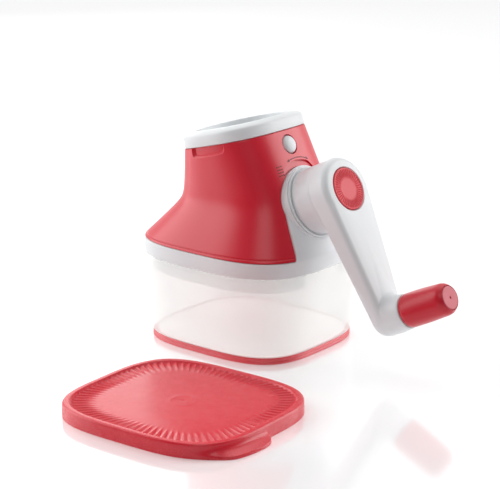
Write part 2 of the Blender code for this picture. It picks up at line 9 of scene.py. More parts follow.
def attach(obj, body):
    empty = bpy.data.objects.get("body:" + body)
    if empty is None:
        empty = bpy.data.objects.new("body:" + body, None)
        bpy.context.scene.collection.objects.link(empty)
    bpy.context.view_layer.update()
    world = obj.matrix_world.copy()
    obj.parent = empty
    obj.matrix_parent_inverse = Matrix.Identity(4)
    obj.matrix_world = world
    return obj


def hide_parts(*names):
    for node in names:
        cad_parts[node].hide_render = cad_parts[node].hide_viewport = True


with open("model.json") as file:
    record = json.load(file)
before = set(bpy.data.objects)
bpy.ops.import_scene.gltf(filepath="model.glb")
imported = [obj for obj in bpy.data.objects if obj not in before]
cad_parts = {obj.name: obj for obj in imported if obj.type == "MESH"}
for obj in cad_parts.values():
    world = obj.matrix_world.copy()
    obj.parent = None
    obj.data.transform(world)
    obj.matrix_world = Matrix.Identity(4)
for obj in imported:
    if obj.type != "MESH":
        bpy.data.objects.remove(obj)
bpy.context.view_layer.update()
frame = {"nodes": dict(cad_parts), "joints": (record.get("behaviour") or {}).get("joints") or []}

# ---- sizes, in metres -----------------------------------------------------------------------
PLAN_RATIO = 0.909
BOWL_TOP_HALF = 0.0704
BOWL_FOOT_HALF = 0.0644
SHOULDER_Z = 0.0629
LIP_Z = 0.0690
SHELL_LOW_Z = 0.0742
SHELL_WALL = 0.0024
SHELL_FOOT_HALF = 0.0700
SHELL_FOOT_POWER = 3.2
POCKET_DEPTH = 0.0020
POCKET_HALF_X, POCKET_LOW, POCKET_HIGH, POCKET_SOFT = 0.0164, -0.0074, 0.0080, 0.0026
POCKET_INNER_Y, POCKET_OUTER_Y, POCKET_FACE_Y = 0.0340, 0.0480, 0.0430
FLARE_SLOPE, UPPER_SLOPE, WAIST_SOFTNESS = 2.10, 0.09, 0.15
FEEDER_TILT = math.radians(14.86)
FEEDER_ORIGIN = Vector((-0.0061, 0.0, 0.1452))
FEEDER_HALF_X, FEEDER_HALF_Y = 0.0366, 0.0425
FEEDER_POWER = 2.8
ARCH_RADIUS = 0.0275
BORE_RADIUS = 0.0242
BUTTON_V = 0.0436
ARM_LENGTH = 0.0919
ARM_BACK, ARM_FRONT = 0.0793, 0.0943
ARM_HEAD, ARM_END = 0.0235, 0.0130
KNOB_START, KNOB_END = 0.1067, 0.1432
LID_CENTRE = Vector((0.0652, -0.1512, 0.0))
LID_TURN = math.radians(2.5)
LID_HALF = 0.0699
LID_POWER = 3.6
LID_FLAT = 0.0084
CAP_FLAT = 0.0947
MARK_LEVEL, MARK_OFFSET, MARK_THICKNESS = 0.0660, 0.00006, 0.00005
BOSS_TOP, BOSS_RADIUS = 0.0617, 0.0266
CUT_LOW, CUT_HIGH = 0.0400, 0.0850
TINY = 1e-7

# ---- places ---------------------------------------------------------------------------------
joints = {joint["name"]: joint for joint in frame["joints"]}
crank = joints["crank_turn"]
OUT = Vector(crank["axis"]).normalized()
ACROSS = Vector((0, 1, 0))
UP = OUT.cross(ACROSS)


def place(origin, x, y, z):
    """A matrix from three directions and an origin."""
    turn = Matrix((x, y, z)).transposed().to_4x4()
    return Matrix.Translation(origin) @ turn


CRANK = place(Vector(crank["pos_m"]), ACROSS, UP, OUT)
KNOB = CRANK @ Matrix.Translation((0, -ARM_LENGTH, 0))
BUTTON = CRANK @ Matrix.Translation((0, BUTTON_V, 0))
FEEDER = Matrix.Translation(FEEDER_ORIGIN) @ Matrix.Rotation(-FEEDER_TILT, 4, "Y")
LID = Matrix.Translation(LID_CENTRE) @ Matrix.Rotation(LID_TURN, 4, "Z")
WORLD = Matrix.Identity(4)


# ---- modelling helpers ----------------------------------------------------------------------
def clear_selection():
    """Leave edit mode and deselect everything."""
    if bpy.context.mode != "OBJECT":
        bpy.ops.object.mode_set(mode="OBJECT")
    bpy.ops.object.select_all(action="DESELECT")


def take(piece):
    """Make one piece the selected and active one."""
    clear_selection()
    piece.select_set(True)
    bpy.context.view_layer.objects.active = piece


def apply_all(piece):
    """Apply every modifier on a piece, in order."""
    take(piece)
    for change in list(piece.modifiers):
        bpy.ops.object.modifier_apply(modifier=change.name)


def smooth(piece, angle=32):
    """Shade smooth below an angle in degrees."""
    take(piece)
    bpy.ops.object.shade_smooth_by_angle(angle=math.radians(angle))


def points_in(matrix, points):
    """Move an array of points by a matrix."""
    turn = np.array(matrix.to_3x3())
    return np.asarray(points, float) @ turn.T + np.array(matrix.translation)


def plan(half_x, half_y, power, count):
    """Even steps round a rounded rectangle, anticlockwise from its +X side."""
    turn = np.linspace(0, 2 * math.pi, 1441)
    shape = np.abs(np.cos(turn) / half_x) ** power + np.abs(np.sin(turn) / half_y) ** power
    reach = shape ** (-1 / power)
    x, y = reach * np.cos(turn), reach * np.sin(turn)
    way = np.concatenate([[0], np.cumsum(np.hypot(np.diff(x), np.diff(y)))])
    steps = np.arange(count) / count * way[-1]
    return np.interp(steps, way, x), np.interp(steps, way, y)


def soften(corners, looped=False, steps=4):
    """Round a section's corners; each is (across, height, how far the round reaches)."""
    found = []
    count = len(corners)
    for index, corner in enumerate(corners):
        here, reach = np.array(corner[:2]), corner[2] if len(corner) > 2 else 0.0
        ends = not looped and index in (0, count - 1)
        if ends or reach <= 0:
            found.append(tuple(here))
            continue
        before = np.array(corners[index - 1][:2]) - here
        after = np.array(corners[(index + 1) % count][:2]) - here
        long_before, long_after = np.linalg.norm(before), np.linalg.norm(after)
        start = here + before / long_before * min(reach, 0.48 * long_before)
        end = here + after / long_after * min(reach, 0.48 * long_after)
        for step in range(steps + 1):
            t = step / steps
            found.append(tuple((1 - t) ** 2 * start + 2 * t * (1 - t) * here + t * t * end))
    return found


def drop_uv_maps(piece):
    """Remove the UV maps a primitive brings; every finish reads Object coordinates."""
    while piece.data.uv_layers:
        piece.data.uv_layers.remove(piece.data.uv_layers[0])


def close_up(merge_distance):
    """Merge doubles and turn every face outwards, in edit mode, then leave it."""
    bpy.ops.mesh.select_all(action="SELECT")
    bpy.ops.mesh.remove_doubles(threshold=merge_distance)
    bpy.ops.mesh.normals_make_consistent(inside=False)
    bpy.ops.mesh.select_all(action="DESELECT")
    bpy.ops.object.mode_set(mode="OBJECT")


def skin(name, rings, looped=False):
    """Wrap a grid round a stack of rings, each an array of points; looped joins last to first."""
    rings = [np.asarray(ring) for ring in rings]
    if looped:
        rings.append(rings[0])
    stack = np.stack([np.vstack([ring, ring[:1]]) for ring in rings])
    rows, columns = stack.shape[0], stack.shape[1]
    clear_selection()
    bpy.ops.mesh.primitive_grid_add(x_subdivisions=columns - 1, y_subdivisions=rows - 1, size=2)
    piece = bpy.context.object
    piece.name = name
    piece.data.name = name
    flat = np.empty(len(piece.data.vertices) * 3)
    piece.data.vertices.foreach_get("co", flat)
    grid = flat.reshape(-1, 3)
    column = np.rint((grid[:, 0] + 1) / 2 * (columns - 1)).astype(int)
    row = np.rint((grid[:, 1] + 1) / 2 * (rows - 1)).astype(int)
    piece.data.vertices.foreach_set("co", stack[row, column].ravel())
    drop_uv_maps(piece)
    bpy.ops.object.mode_set(mode="EDIT")
    close_up(2e-6)
    return piece


def spun(name, matrix, corners, looped=False, steps=96):
    """Turn a section of (radius, height, softness) about a place's own Z axis."""
    profile = soften(corners, looped)
    if looped:
        profile = profile + profile[:1]
    turn = np.array([(max(radius, 0.0), 0.0, height) for radius, height in profile])
    line = points_in(matrix, turn)
    clear_selection()
    bpy.ops.mesh.primitive_plane_add(size=0.001)
    piece = bpy.context.object
    piece.name = name
    piece.data.name = name
    bpy.ops.object.mode_set(mode="EDIT")
    bpy.ops.mesh.select_all(action="SELECT")
    bpy.ops.mesh.merge(type="CENTER")
    bpy.ops.transform.translate(value=line[0])
    for step in np.diff(line, axis=0):
        bpy.ops.mesh.extrude_region_move(TRANSFORM_OT_translate={"value": tuple(step)})
    bpy.ops.mesh.select_all(action="SELECT")
    bpy.ops.mesh.spin(
        steps=steps, angle=2 * math.pi, center=matrix.translation,
        axis=matrix.to_3x3() @ Vector((0, 0, 1)))
    close_up(4e-6)
    return piece


def rod(name, matrix, radius, low, high, vertices=64):
    """A plain cutter along a place's Z axis."""
    clear_selection()
    bpy.ops.mesh.primitive_cylinder_add(vertices=vertices, radius=radius, depth=high - low)
    piece = bpy.context.object
    piece.name = name
    piece.data.transform(matrix @ Matrix.Translation((0, 0, (low + high) / 2)))
    return piece


def block(name, matrix, low, high, soft=0.0):
    """A box cutter with rounded edges."""
    low, high = Vector(low), Vector(high)
    clear_selection()
    bpy.ops.mesh.primitive_cube_add(size=1)
    piece = bpy.context.object
    piece.name = name
    piece.data.transform(Matrix.Translation((low + high) / 2) @ Matrix.Diagonal((*(high - low), 1)))
    if soft:
        bevel = piece.modifiers.new("soft", "BEVEL")
        bevel.width = soft
        bevel.segments = 5
        apply_all(piece)
    piece.data.transform(matrix)
    return piece


def combine(piece, other, operation="DIFFERENCE"):
    """Cut or join with another mesh, which is used up."""
    change = piece.modifiers.new(operation.lower(), "BOOLEAN")
    change.operation = operation
    change.object = other
    change.solver = "EXACT"
    apply_all(piece)
    bpy.data.objects.remove(other, do_unlink=True)


def stand_for(piece, body, slot, finish, *nodes):
    """Give a piece its finish and body, and let it stand for CAD nodes."""
    piece.data.materials.clear()
    piece.data.materials.append(finish)
    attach(piece, body)
    if nodes:
        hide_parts(*nodes)


# ---- finishes -------------------------------------------------------------------------------
def moulded_skin_group():
    """Fine spark-eroded grain, slow waviness and faint colour drift of a moulded surface."""
    group = bpy.data.node_groups.new("moulded skin", "ShaderNodeTree")
    face = group.interface
    wanted = [
        ("Colour", "NodeSocketColor"), ("Drift Colour", "NodeSocketColor"),
        ("Drift", "NodeSocketFloat"), ("Roughness", "NodeSocketFloat"),
        ("Roughness Drift", "NodeSocketFloat"), ("Grain Scale", "NodeSocketFloat"),
        ("Grain", "NodeSocketFloat"), ("Wave", "NodeSocketFloat"),
    ]
    for title, kind in wanted:
        face.new_socket(name=title, in_out="INPUT", socket_type=kind)
    face.new_socket(name="Colour", in_out="OUTPUT", socket_type="NodeSocketColor")
    face.new_socket(name="Roughness", in_out="OUTPUT", socket_type="NodeSocketFloat")
    face.new_socket(name="Height", in_out="OUTPUT", socket_type="NodeSocketFloat")
    nodes, links = group.nodes, group.links
    given, result = nodes.new("NodeGroupInput"), nodes.new("NodeGroupOutput")
    where = nodes.new("ShaderNodeTexCoord")

    def noise(scale, detail):
        texture = nodes.new("ShaderNodeTexNoise")
        texture.inputs["Detail"].default_value = detail
        links.new(where.outputs["Object"], texture.inputs["Vector"])
        if isinstance(scale, float):
            texture.inputs["Scale"].default_value = scale
        else:
            links.new(scale, texture.inputs["Scale"])
        return texture.outputs["Fac"]

    def maths(operation, first, second):
        node = nodes.new("ShaderNodeMath")
        node.operation = operation
        for socket, value in zip(node.inputs, (first, second)):
            if isinstance(value, float):
                socket.default_value = value
            else:
                links.new(value, socket)
        return node.outputs[0]

    cloud, streak, grain = noise(38.0, 3.0), noise(14.0, 1.0), noise(given.outputs["Grain Scale"], 2.0)
    mix = nodes.new("ShaderNodeMix")
    mix.data_type = "RGBA"
    links.new(maths("MULTIPLY", cloud, given.outputs["Drift"]), mix.inputs["Factor"])
    links.new(given.outputs["Colour"], mix.inputs["A"])
    links.new(given.outputs["Drift Colour"], mix.inputs["B"])
    links.new(mix.outputs["Result"], result.inputs["Colour"])
    shift = maths("MULTIPLY", maths("SUBTRACT", cloud, 0.5), given.outputs["Roughness Drift"])
    fine = maths("MULTIPLY", maths("SUBTRACT", grain, 0.5), given.outputs["Roughness Drift"])
    rough = maths("ADD", given.outputs["Roughness"], maths("ADD", shift, fine))
    links.new(rough, result.inputs["Roughness"])
    height = maths(
        "ADD", maths("MULTIPLY", grain, given.outputs["Grain"]),
        maths("MULTIPLY", streak, given.outputs["Wave"]))
    links.new(height, result.inputs["Height"])
    return group


MOULDED_SKIN = moulded_skin_group()


def finish(name, colour, drift_colour, drift=0.5, roughness=0.4, roughness_drift=0.08,
           grain_scale=2600.0, grain=0.10, wave=0.25, bump=0.35, **shader_values):
    """A plastic, rubber or steel finish on the shared moulded skin."""
    made = bpy.data.materials.new(name)
    made.use_nodes = True
    nodes, links = made.node_tree.nodes, made.node_tree.links
    shader = nodes["Principled BSDF"]
    skin_node = nodes.new("ShaderNodeGroup")
    skin_node.node_tree = MOULDED_SKIN
    values = {
        "Colour": (*colour, 1), "Drift Colour": (*drift_colour, 1), "Drift": drift,
        "Roughness": roughness, "Roughness Drift": roughness_drift,
        "Grain Scale": grain_scale, "Grain": grain, "Wave": wave,
    }
    for title, value in values.items():
        skin_node.inputs[title].default_value = value
    relief = nodes.new("ShaderNodeBump")
    relief.inputs["Strength"].default_value = bump
    relief.inputs["Distance"].default_value = 0.0002
    links.new(skin_node.outputs["Colour"], shader.inputs["Base Color"])
    links.new(skin_node.outputs["Roughness"], shader.inputs["Roughness"])
    links.new(skin_node.outputs["Height"], relief.inputs["Height"])
    links.new(relief.outputs["Normal"], shader.inputs["Normal"])
    for title, value in shader_values.items():
        shader.inputs[title.replace("_", " ")].default_value = value
    return made


SATIN_RED = finish(
    "satin red", (0.70, 0.005, 0.026), (0.74, 0.008, 0.032), roughness=0.33,
    Specular_IOR_Level=0.75)
# The cap's own red, lifted towards pink by a painted sheen that stands in for reflected light.
CAP_RED_WITH_PAINTED_SHEEN = finish(
    "cap red with painted sheen", (0.78, 0.060, 0.080), (0.82, 0.075, 0.095), roughness=0.46, grain=0.05)
KNOB_RED = finish(
    "knob red", (0.60, 0.009, 0.026), (0.64, 0.014, 0.032), roughness=0.34, grain=0.06,
    Specular_IOR_Level=0.45)
KNOB_FACE_RED = finish(
    "knob face red", (0.66, 0.10, 0.13), (0.70, 0.13, 0.16), roughness=0.45, grain=0.14)
LID_RED = finish(
    "lid red", (0.76, 0.014, 0.034), (0.80, 0.022, 0.044), roughness=0.27, grain=0.07,
    Specular_IOR_Level=0.65,
    Subsurface_Weight=0.15, Subsurface_Radius=(0.9, 0.25, 0.2), Subsurface_Scale=0.0012)
# The ring's own red, lifted towards pink by a painted highlight.
RING_RED_WITH_PAINTED_HIGHLIGHT = finish(
    "grip ring red with painted highlight", (0.80, 0.06, 0.08), (0.84, 0.09, 0.11), roughness=0.32, grain=0.15,
    Specular_IOR_Level=0.9)
WHITE = finish(
    "satin white", (0.83, 0.85, 0.865), (0.80, 0.82, 0.84), roughness=0.36, grain=0.08)
# A darker copy of the satin white for the inner parts: painted shade where they sit inside the
# housing.
WHITE_PAINTED_SHADE_INSIDE = finish(
    "white with painted inner shade", (0.76, 0.765, 0.775), (0.72, 0.725, 0.735), roughness=0.48, grain=0.12)
# The bowl wall's emission is a painted glow standing in for light passing through the frosted plastic;
# the bowl is no lamp.
FROSTED_PAINTED_GLOW = finish(
    "frosted bowl", (0.84, 0.84, 0.83), (0.81, 0.81, 0.80), roughness=0.5, grain=0.2,
    bump=0.2, Alpha=0.46, Emission_Color=(0.97, 1.0, 0.98, 1), Emission_Strength=0.21)
# The bowl foot's stronger emission is a painted glow lifting the shade under the bowl; its pinker base
# and emission colour are a painted reflection of the red grip ring.
FROSTED_FOOT_PAINTED_GLOW = finish(
    "frosted bowl foot with painted glow", (0.84, 0.81, 0.80), (0.81, 0.78, 0.77), roughness=0.5, grain=0.2,
    bump=0.2, Alpha=0.9, Emission_Color=(1.0, 0.96, 0.95, 1), Emission_Strength=0.45)
STEEL = finish(
    "plain steel", (0.60, 0.60, 0.61), (0.52, 0.52, 0.54), roughness=0.28, grain_scale=900.0,
    grain=0.2, bump=0.2, Metallic=1.0)
MARK = finish(
    "printed mark", (0.18, 0.008, 0.014), (0.16, 0.008, 0.012), roughness=0.5, grain=0.1)


# ---- bowl, grip ring and lid ----------------------------------------------------------------
def bowl_rings(corners, count=176, looped=False, power=None):
    """Level rings for a section of (half width, height, softness)."""
    rings = []
    for half, height in soften(corners, looped):
        bend = power or float(np.interp(height, (0.005, SHOULDER_Z), (3.45, 3.20)))
        x, y = plan(max(half, TINY), max(half, TINY) * PLAN_RATIO, bend, count)
        rings.append(np.column_stack([x, y, np.full(count, height)]))
    return rings


def storage_bowl():
    """Frosted bowl: foot, tapering wall, shoulder and lip."""
    foot, top = BOWL_FOOT_HALF, BOWL_TOP_HALF
    corners = [
        (0.0, 0.0009), (0.0300, 0.0009), (foot - 0.0044, 0.0009, 0.0010),
        (foot - 0.0036, 0.0020, 0.0008), (foot - 0.0036, 0.0049, 0.0004),
        (foot, 0.0049, 0.0004), (foot + 0.0003, 0.0080, 0.0020), (foot + 0.0013, 0.0120, 0.0040),
        (top - 0.0026, 0.0340, 0.0110), (top, SHOULDER_Z, 0.0004),
        (top - 0.0021, SHOULDER_Z + 0.0001, 0.0005), (top - 0.0021, LIP_Z, 0.0008),
        (top - 0.0038, LIP_Z, 0.0008), (top - 0.0036, 0.0560, 0.0050),
        (top - 0.0046, 0.0340, 0.0110), (foot - 0.0008, 0.0120, 0.0050),
        (foot - 0.0034, 0.0040, 0.0040), (foot - 0.0090, 0.0032, 0.0030),
        (0.0300, 0.0032), (0.0, 0.0032),
    ]
    bowl = skin("frosted_bowl", bowl_rings(corners))
    smooth(bowl)
    stand_for(bowl, "bowl", "frosted_clear", FROSTED_PAINTED_GLOW, "storage_bowl")
    bowl.data.materials.append(FROSTED_FOOT_PAINTED_GLOW)
    # Faces below 4.5 mm take the foot finish: painted glow over the shade under the bowl, and a
    # painted pink reflection of the grip ring.
    for face in bowl.data.polygons:
        face.material_index = int(face.center.z < 0.0045)


def base_grip_ring():
    """Soft ring round the bowl's foot, with a groove."""
    outer, inner = BOWL_FOOT_HALF, BOWL_FOOT_HALF - 0.0032
    corners = [
        (inner, 0.0, 0.0003), (outer, 0.0, 0.0008), (outer, 0.0018, 0.0003),
        (outer - 0.0004, 0.0022, 0.0003), (outer, 0.0026, 0.0003), (outer, 0.0046, 0.0007),
        (inner, 0.0046, 0.0003),
    ]
    ring = skin("soft_grip_ring", bowl_rings(corners, looped=True, power=3.45), looped=True)
    smooth(ring)
    stand_for(ring, "bowl", "rubber_red", RING_RED_WITH_PAINTED_HIGHLIGHT, "base_grip_ring")


def rise(value, low, high):
    """A smooth step from 0 at low to 1 at high."""
    t = np.clip((value - low) / (high - low), 0, 1)
    return t * t * (3 - 2 * t)


def storage_lid():
    """Skirt, seal groove, raised rim, fluted border, centre ring and a scooped pull tab."""
    flutes, per_flute = 88, 8
    count = flutes * per_flute
    corners = [
        (0.0, 0.0064), (0.0400, 0.0064), (0.0649, 0.0064, 0.0006), (0.0649, 0.0015, 0.0004),
        (0.0661, 0.0015, 0.0004), (0.0661, 0.0075, 0.0004), (0.0685, 0.0075, 0.0004),
        (0.0687, 0.0000, 0.0003), (LID_HALF, 0.0000, 0.0004), (LID_HALF, 0.0022),
        (LID_HALF, 0.0030), (LID_HALF, 0.0040), (LID_HALF - 0.0001, 0.0050),
        (LID_HALF - 0.0001, 0.0062), (LID_HALF - 0.0002, 0.0085, 0.0003),
        (LID_HALF - 0.0009, 0.0097, 0.0007), (0.0656, 0.0097, 0.0006), (0.0646, 0.0087, 0.0005),
        (0.0636, 0.0085),
    ]
    corners += [(half, LID_FLAT) for half in (
        0.0622, 0.0608, 0.0594, 0.0580, 0.0566, 0.0552, 0.0538, 0.0524, 0.0511, 0.0498, 0.0485,
        0.0400, 0.0300, 0.0200, 0.0120, 0.0088, 0.0082, 0.0076, 0.0060, 0.0030, 0.0012, 0.0007,
        0.0)]
    phase = np.arange(count) / per_flute
    wave = 1.0 - np.abs(np.sin(math.pi * phase)) ** 0.7
    rings = []
    for half, height in soften(corners):
        round_off = float(rise(half, 0.0, 0.030))
        bend = 2.0 + (LID_POWER - 2.0) * round_off
        ratio = 1.0 + (PLAN_RATIO - 1.0) * round_off
        x, y = plan(max(half, TINY), max(half, TINY) * ratio, bend, count)
        z = np.full(count, height)
        top_side = height > 0.0070 and half < 0.0648
        if top_side:
            border = float(rise(half, 0.0485, 0.0590) * (1 - rise(half, 0.0640, 0.0647)))
            z = z + 0.0011 * border * (wave - 0.5)
            z = z + 0.00016 * math.exp(-((half - 0.0082) / 0.0005) ** 2)
            z = z - 0.0005 * math.exp(-(half / 0.0009) ** 2)
        outer_side = half > 0.0690 and height < 0.0080
        if outer_side:
            along = np.where(x > 0, y, -1.0)
            end = np.clip((along + 0.0200) / 0.0160, 0, 1)
            window = rise(along, -0.0600, -0.0400) * np.sqrt(1 - end ** 2.4)
            lift = np.clip((height - 0.0021) / 0.0050, 0, 1)
            x = x + 0.0078 * window * (1 - lift) ** 2.2
        rings.append(points_in(LID, np.column_stack([x, y, z])))
    lid = skin("snap_lid", rings)
    smooth(lid, 50)
    stand_for(lid, "lid", "lid_red", LID_RED, "storage_lid")


# ---- housing --------------------------------------------------------------------------------
def narrowing(share):
    """How much of its narrowing the housing has done: a flare and an upright, softly joined."""
    def bend(height):
        flare = FLARE_SLOPE * height
        upright = 1 - UPPER_SLOPE * (1 - height)
        return (flare + upright - math.hypot(flare - upright, WAIST_SOFTNESS)) / 2

    return (bend(share) - bend(0)) / (bend(1) - bend(0))


def shell_ring(share, inset, count=208, drop=0.0):
    """One section of the housing, level at the foot and tilted like the feeder above."""
    foot = Vector((SHELL_FOOT_HALF, 0, SHELL_LOW_Z))
    rim = Vector((math.cos(FEEDER_TILT), 0, math.sin(FEEDER_TILT))) * FEEDER_HALF_X
    right = foot.lerp(FEEDER_ORIGIN + rim, share)
    left = Vector((-foot.x, 0, foot.z)).lerp(FEEDER_ORIGIN - rim, share)
    left.x = -foot.x + (FEEDER_ORIGIN.x - rim.x + foot.x) * narrowing(share)
    middle, reach = (left + right) / 2, (right - left) / 2
    foot_half_y = SHELL_FOOT_HALF * PLAN_RATIO
    half_y = foot_half_y + (FEEDER_HALF_Y - foot_half_y) * narrowing(share)
    power = SHELL_FOOT_POWER + (FEEDER_POWER - SHELL_FOOT_POWER) * share
    x, y = plan(reach.length - inset, half_y - inset, power, count)
    direction = reach.normalized()
    return np.column_stack([
        middle.x + direction.x * x, y, middle.z + direction.z * x - drop])


def arch_points(clearance, bottom):
    """The crank-side opening's outline: round above, legs that spread and flare at the foot."""
    radius = ARCH_RADIUS - clearance
    half = [(-0.0020, radius), (-0.0120, radius + 0.0022), (-0.0300, radius + 0.0056),
            (-0.0325, radius + 0.0062), (-0.0340, radius + 0.0069), (-0.0352, radius + 0.0082),
            (-0.0361, radius + 0.0102), (-0.0368, radius + 0.0130), (bottom, radius + 0.0130)]
    turn = np.linspace(0, math.pi, 49)
    top = [(radius * math.cos(angle), radius * math.sin(angle)) for angle in turn]
    right = [(u, v) for v, u in reversed(half)]
    left = [(-u, v) for v, u in half]
    return right + top + left


def arch_prism(name, clearance, low, high, bottom=-0.0450):
    """The arch outline as a solid along the crank axis."""
    outline = np.array(arch_points(clearance, bottom))
    centre = np.tile([[0.0, -0.005]], (len(outline), 1))
    levels = [(centre, low), (outline, low), (outline, high), (centre, high)]
    rings = [points_in(CRANK, np.column_stack([ring, np.full(len(ring), level)]))
             for ring, level in levels]
    return skin(name, rings)


def arc_band(name, inner, outer, low, high, start, end, steps=40):
    """A curved groove cutter round the crank axis, between two angles in degrees."""
    section = np.array([(inner, low), (outer, low), (outer, high), (inner, high)])
    middle = section.mean(axis=0)
    rings = []
    for step in range(steps + 1):
        angle = math.radians(start + (end - start) * step / steps)
        taper = min(1.0, 6.0 * min(step, steps - step) / steps + 0.15)
        shape = middle + (section - middle) * np.array([taper, 1.0])
        rings.append(points_in(CRANK, [
            (r * math.cos(angle), r * math.sin(angle), h) for r, h in shape]))
    ends = [np.tile(ring.mean(axis=0), (4, 1)) for ring in (rings[0], rings[-1])]
    return skin(name, [ends[0]] + rings + [ends[1]])


def slope_sides(pocket):
    """Make a finger pocket's cutter narrower the deeper it goes."""
    home = FEEDER.inverted()
    narrow_length, lift_rate = 0.016, 0.9
    for vertex in pocket.data.vertices:
        spot = home @ vertex.co
        sunk = POCKET_FACE_Y - abs(spot.y)
        spot.x *= 1 - sunk / narrow_length
        if spot.z < 0:
            spot.z += lift_rate * sunk
        vertex.co = FEEDER @ spot


def housing_shell():
    """Red flared shell with its arch, button hole, recess over the hub and finger pockets."""
    outer = [(0.0, 0.0010), (0.0006, 0.0004), (0.003, 0.0001), (0.008, 0.0), (0.020, 0.0),
             (0.0235, 0.0001), (0.0260, 0.0004), (0.0290, 0.0004), (0.0320, 0.0001),
             (0.036, 0.0), (0.045, 0.0)]
    outer += [(share, 0.0) for share in np.linspace(0.06, 0.985, 48)]
    outer += [(0.994, 0.0), (0.998, 0.0001), (1.0, 0.0004)]
    inner = [(share, SHELL_WALL) for share in np.linspace(1.0, 0.0, 24)]
    shell = skin(
        "red_housing", [shell_ring(share, inset) for share, inset in outer + inner], looped=True)
    combine(shell, arch_prism("arch_cut", 0.0, CUT_LOW, CUT_HIGH))
    combine(shell, rod("button_cut", BUTTON, 0.0073, 0.050, 0.075))
    combine(shell, arc_band("hub_relief", 0.0262, 0.0318, 0.0578, 0.0640, 56, 126))
    for side in (-1, 1):
        ends = sorted((side * POCKET_INNER_Y, side * POCKET_OUTER_Y))
        pocket = block(
            "grip_pocket", FEEDER, (-POCKET_HALF_X, ends[0], POCKET_LOW),
            (POCKET_HALF_X, ends[1], POCKET_HIGH), POCKET_SOFT)
        slope_sides(pocket)
        core = [shell_ring(share, POCKET_DEPTH) for share in np.linspace(0.80, 1.0, 9)]
        core.append(core[-1] + np.array([0, 0, 0.012]))
        core.insert(0, core[0] * np.array([TINY, TINY, 1]))
        core.append(core[-1] * np.array([TINY, TINY, 1]))
        combine(pocket, skin("pocket_core", core))
        combine(shell, pocket)
    smooth(shell, 30)
    stand_for(shell, "housing", "satin_red", SATIN_RED, "housing_shell")
    return shell


def turn_marks(shell):
    """A generic turn arrow and a short scale, printed on the housing beside the hub."""
    def decal(name, outline_pairs):
        rings = [
            points_in(CRANK, [(u, v, MARK_LEVEL) for u, v in pair]) for pair in outline_pairs]
        clear_selection()
        bpy.ops.mesh.primitive_grid_add(
            x_subdivisions=1, y_subdivisions=len(rings) - 1, size=2)
        piece = bpy.context.object
        piece.name = name
        for vertex in piece.data.vertices:
            row = round((vertex.co.y + 1) / 2 * (len(rings) - 1))
            vertex.co = rings[row][0 if vertex.co.x < 0 else 1]
        wrap = piece.modifiers.new("wrap", "SHRINKWRAP")
        wrap.target = shell
        wrap.wrap_method = "NEAREST_SURFACEPOINT"
        wrap.wrap_mode = "ABOVE_SURFACE"
        wrap.offset = MARK_OFFSET
        apply_all(piece)
        thick = piece.modifiers.new("ink", "SOLIDIFY")
        thick.thickness = MARK_THICKNESS
        thick.offset = 0
        apply_all(piece)
        drop_uv_maps(piece)
        stand_for(piece, "housing", "satin_red", MARK)

    def polar(radius, degrees):
        return radius * math.cos(math.radians(degrees)), radius * math.sin(math.radians(degrees))

    arc = [(polar(0.0333, angle), polar(0.0339, angle)) for angle in np.linspace(69, 102, 25)]
    decal("turn_arc", arc)
    for index, (tip, base) in enumerate(((64.5, 69), (106.5, 102))):
        head = [(polar(0.0335, tip), polar(0.0336, tip)),
                (polar(0.0325, base), polar(0.0347, base))]
        decal("turn_arrow_%d" % index, head)
    tick_width, tick_height = 0.0016, 0.0007
    for row in range(4):
        for column in range(3):
            left, low = -0.0228 + 0.0022 * column, 0.0240 + 0.0021 * row
            right, high = left + tick_width, low + tick_height
            tick = [((left, low), (right, low)), ((left, high), (right, high))]
            decal("scale_tick_%d_%d" % (row, column), tick)


def inner_frame():
    """Band and skirt, the arched panel that follows the housing, and the hub's boss."""
    half = BOWL_TOP_HALF
    corners = [
        (half, 0.0633, 0.0004), (half - 0.0003, 0.0739, 0.0006), (half - 0.0072, 0.0739, 0.0005),
        (half - 0.0078, 0.0510, 0.0008), (half - 0.0060, 0.0510, 0.0008),
        (half - 0.0056, 0.0704, 0.0004), (half - 0.0015, 0.0704, 0.0004),
        (half - 0.0015, 0.0633, 0.0003),
    ]
    band = skin("white_frame", bowl_rings(corners, looped=True, power=SHELL_FOOT_POWER), looped=True)

    def proud(share):
        return -(0.0002 + 0.0009 * float(rise(share, 0.0, 0.10)))

    shares = np.linspace(0.0, 0.80, 40)
    outer = [shell_ring(0.0, proud(0.0), drop=0.0012)]
    outer += [shell_ring(share, proud(share)) for share in shares]
    inner = [shell_ring(share, 0.0020) for share in shares[::-4]]
    inner.append(shell_ring(0.0, 0.0020, drop=0.0012))
    panel = skin("panel", outer + inner, looped=True)
    combine(panel, arch_prism("panel_outline", 0.0004, CUT_LOW, CUT_HIGH, -0.0390), "INTERSECT")
    combine(band, panel, "UNION")
    boss = spun("boss", CRANK, [
        (0.0, 0.0475), (BOSS_RADIUS, 0.0475, 0.0004), (BOSS_RADIUS, BOSS_TOP, 0.0006),
        (0.0, BOSS_TOP)])
    combine(band, boss, "UNION")
    combine(band, rod("bore", CRANK, BORE_RADIUS, 0.040, 0.070, 96))
    notch = block("notch", WORLD, (0.0450, -0.0210, 0.0400), (0.0680, 0.0210, 0.0665), 0.0040)
    combine(band, notch)
    smooth(band, 34)
    stand_for(band, "housing", "satin_white", WHITE, "inner_frame")


def release_button():
    """Domed button on a flange that keeps it in the housing."""
    button = spun("round_button", BUTTON, [
        (0.0, 0.0528), (0.0021, 0.0528, 0.0003), (0.0021, 0.0556, 0.0003),
        (0.0076, 0.0556, 0.0003), (0.0076, 0.0567, 0.0003), (0.0063, 0.0567, 0.0002),
        (0.0063, 0.0596, 0.0016), (0.0046, 0.0611, 0.0020), (0.0, 0.0617)])
    smooth(button)
    stand_for(button, "button", "satin_white", WHITE, "release_button")


